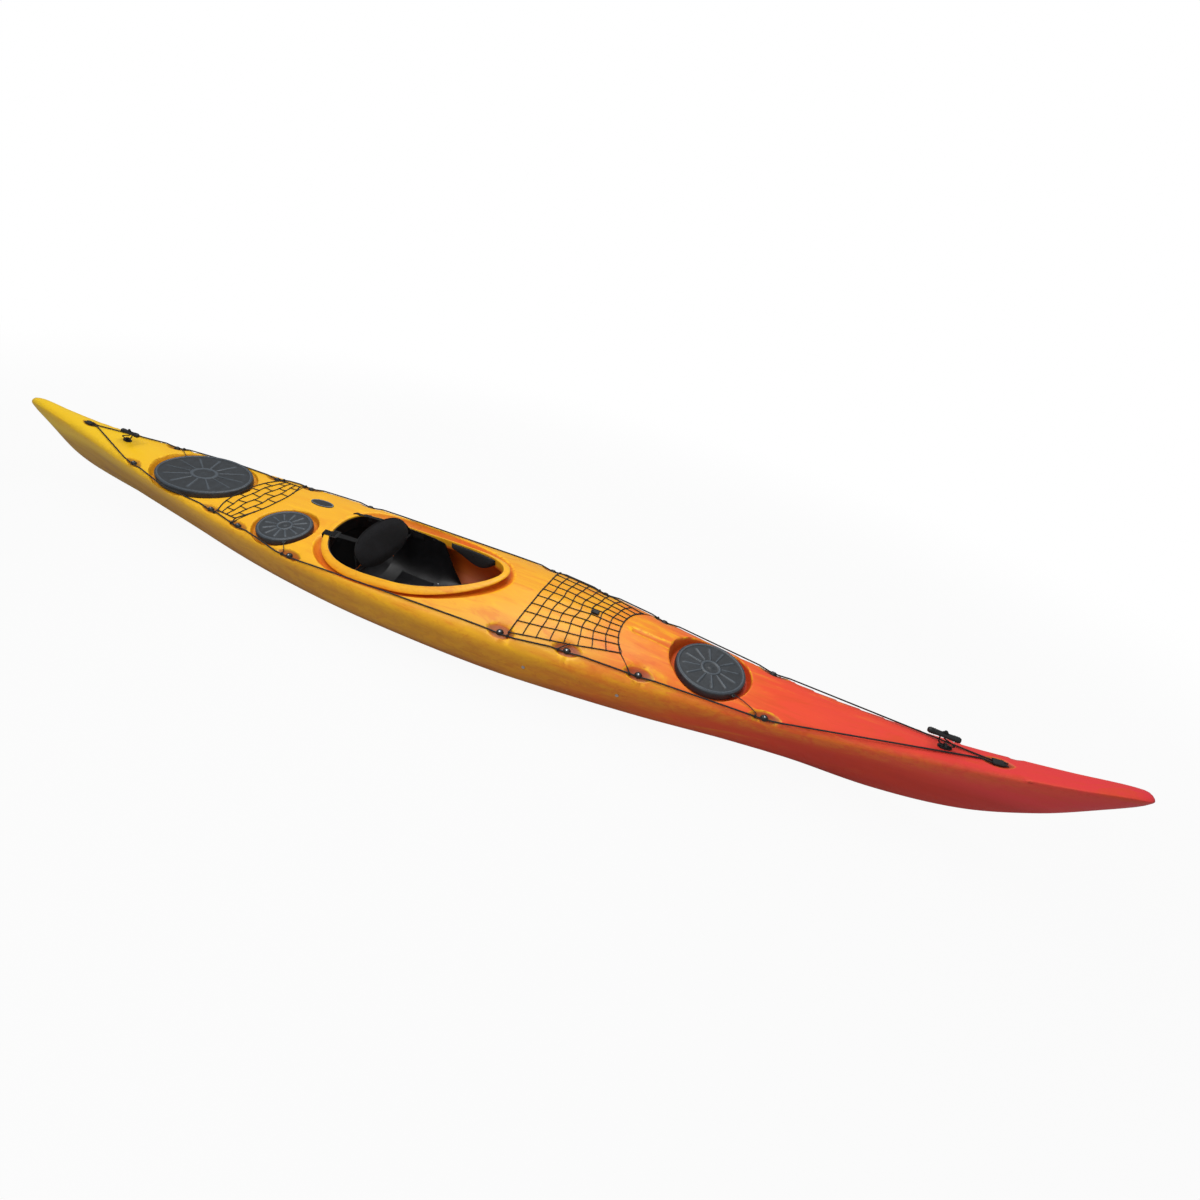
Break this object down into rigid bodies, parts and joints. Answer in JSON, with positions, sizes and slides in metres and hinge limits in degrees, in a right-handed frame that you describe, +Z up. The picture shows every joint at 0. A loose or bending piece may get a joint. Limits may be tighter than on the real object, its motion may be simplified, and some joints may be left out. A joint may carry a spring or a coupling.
{
  "type": "sea kayak",
  "caption": "Long, narrow, decked touring kayak with a fitted oval cockpit, covered hatches, elastic deck nets, deck lines along both sides and a swinging carry toggle at each end.",
  "frame": {"origin": "on the flat keel strip, midway along the boat and on its centre line", "axes": "+X from stern to bow, +Y to port, +Z up from the keel"},
  "size_m": [5.1, 0.5922, 0.4417],
  "materials": {
    "hull": "satin",
    "rubber": "satin",
    "plastic": "satin",
    "cord": "matte",
    "fabric": "matte",
    "foam": "matte",
    "alloy": "satin"
  },
  "bodies": {
    "boat": {"hull_shell": "hull", "front_hatch_rim": "plastic", "front_hatch_tether": "cord", "day_hatch_rim": "plastic", "day_hatch_tether": "cord", "rear_hatch_rim": "plastic", "rear_hatch_tether": "cord", "deck_line_port": "cord", "deck_line_starboard": "cord", "deck_fitting_port_1": "plastic", "deck_fitting_port_2": "plastic", "deck_fitting_port_3": "plastic", "deck_fitting_port_4": "plastic", "deck_fitting_port_5": "plastic", "deck_fitting_port_6": "plastic", "deck_fitting_port_7": "plastic", "deck_fitting_port_8": "plastic", "deck_fitting_starboard_1": "plastic", "deck_fitting_starboard_2": "plastic", "deck_fitting_starboard_3": "plastic", "deck_fitting_starboard_4": "plastic", "deck_fitting_starboard_5": "plastic", "deck_fitting_starboard_6": "plastic", "deck_fitting_starboard_7": "plastic", "deck_fitting_starboard_8": "plastic", "front_deck_net": "cord", "rear_deck_net": "cord", "net_hook": "plastic", "oval_deck_plate": "plastic", "front_bulkhead": "foam", "seat_bulkhead": "foam", "rear_bulkhead": "foam", "seat_pan": "plastic", "seat_pad": "fabric", "backrest_strap_port": "fabric", "backrest_strap_starboard": "fabric", "side_strap_port": "fabric", "side_strap_starboard": "fabric", "thigh_brace_port": "foam", "thigh_brace_starboard": "foam", "footrest_rail_port": "alloy", "footrest_rail_starboard": "alloy", "stern_end_fitting": "plastic", "bow_end_fitting": "plastic", "stern_pad_eye": "plastic", "bow_pad_eye": "plastic"},
    "front_cover": {"front_hatch_cover": "rubber"},
    "day_cover": {"day_hatch_cover": "rubber"},
    "rear_cover": {"rear_hatch_cover": "rubber"},
    "backrest": {"backrest_shell": "plastic", "backrest_pad": "fabric"},
    "peg_port": {"foot_peg_port": "plastic"},
    "peg_starboard": {"foot_peg_starboard": "plastic"},
    "toggle_stern": {"stern_toggle": "plastic", "stern_toggle_loop": "cord"},
    "toggle_bow": {"bow_toggle": "plastic", "bow_toggle_loop": "cord"}
  },
  "joints": [
    {"name": "front_cover_lift", "type": "slide", "parent": "boat", "child": "front_cover", "axis": [0.0384, 0, 0.9993], "range_m": [0, 0.15]},
    {"name": "day_cover_lift", "type": "slide", "parent": "boat", "child": "day_cover", "axis": [0, -0.0523, 0.9986], "range_m": [0, 0.15]},
    {"name": "rear_cover_lift", "type": "slide", "parent": "boat", "child": "rear_cover", "axis": [-0.014, 0, 0.9999], "range_m": [0, 0.15]},
    {"name": "backrest_recline", "type": "hinge", "parent": "boat", "child": "backrest", "pos_m": [-0.38217, 0, 0.21977], "axis": [0, 1, 0], "range_deg": [0, 30]},
    {"name": "foot_peg_port_slide", "type": "slide", "parent": "boat", "child": "peg_port", "axis": [0.9916, -0.129, 0], "range_m": [-0.175, 0.1]},
    {"name": "foot_peg_starboard_slide", "type": "slide", "parent": "boat", "child": "peg_starboard", "axis": [0.9915, 0.1299, 0], "range_m": [-0.175, 0.1]},
    {"name": "stern_toggle_swing", "type": "hinge", "parent": "boat", "child": "toggle_stern", "pos_m": [-1.89898, 0, 0.31806], "axis": [1, 0, 0], "range_deg": [-60, 60]},
    {"name": "bow_toggle_swing", "type": "hinge", "parent": "boat", "child": "toggle_bow", "pos_m": [1.9589, 0, 0.33688], "axis": [1, 0, 0], "range_deg": [-60, 60]}
  ]
}
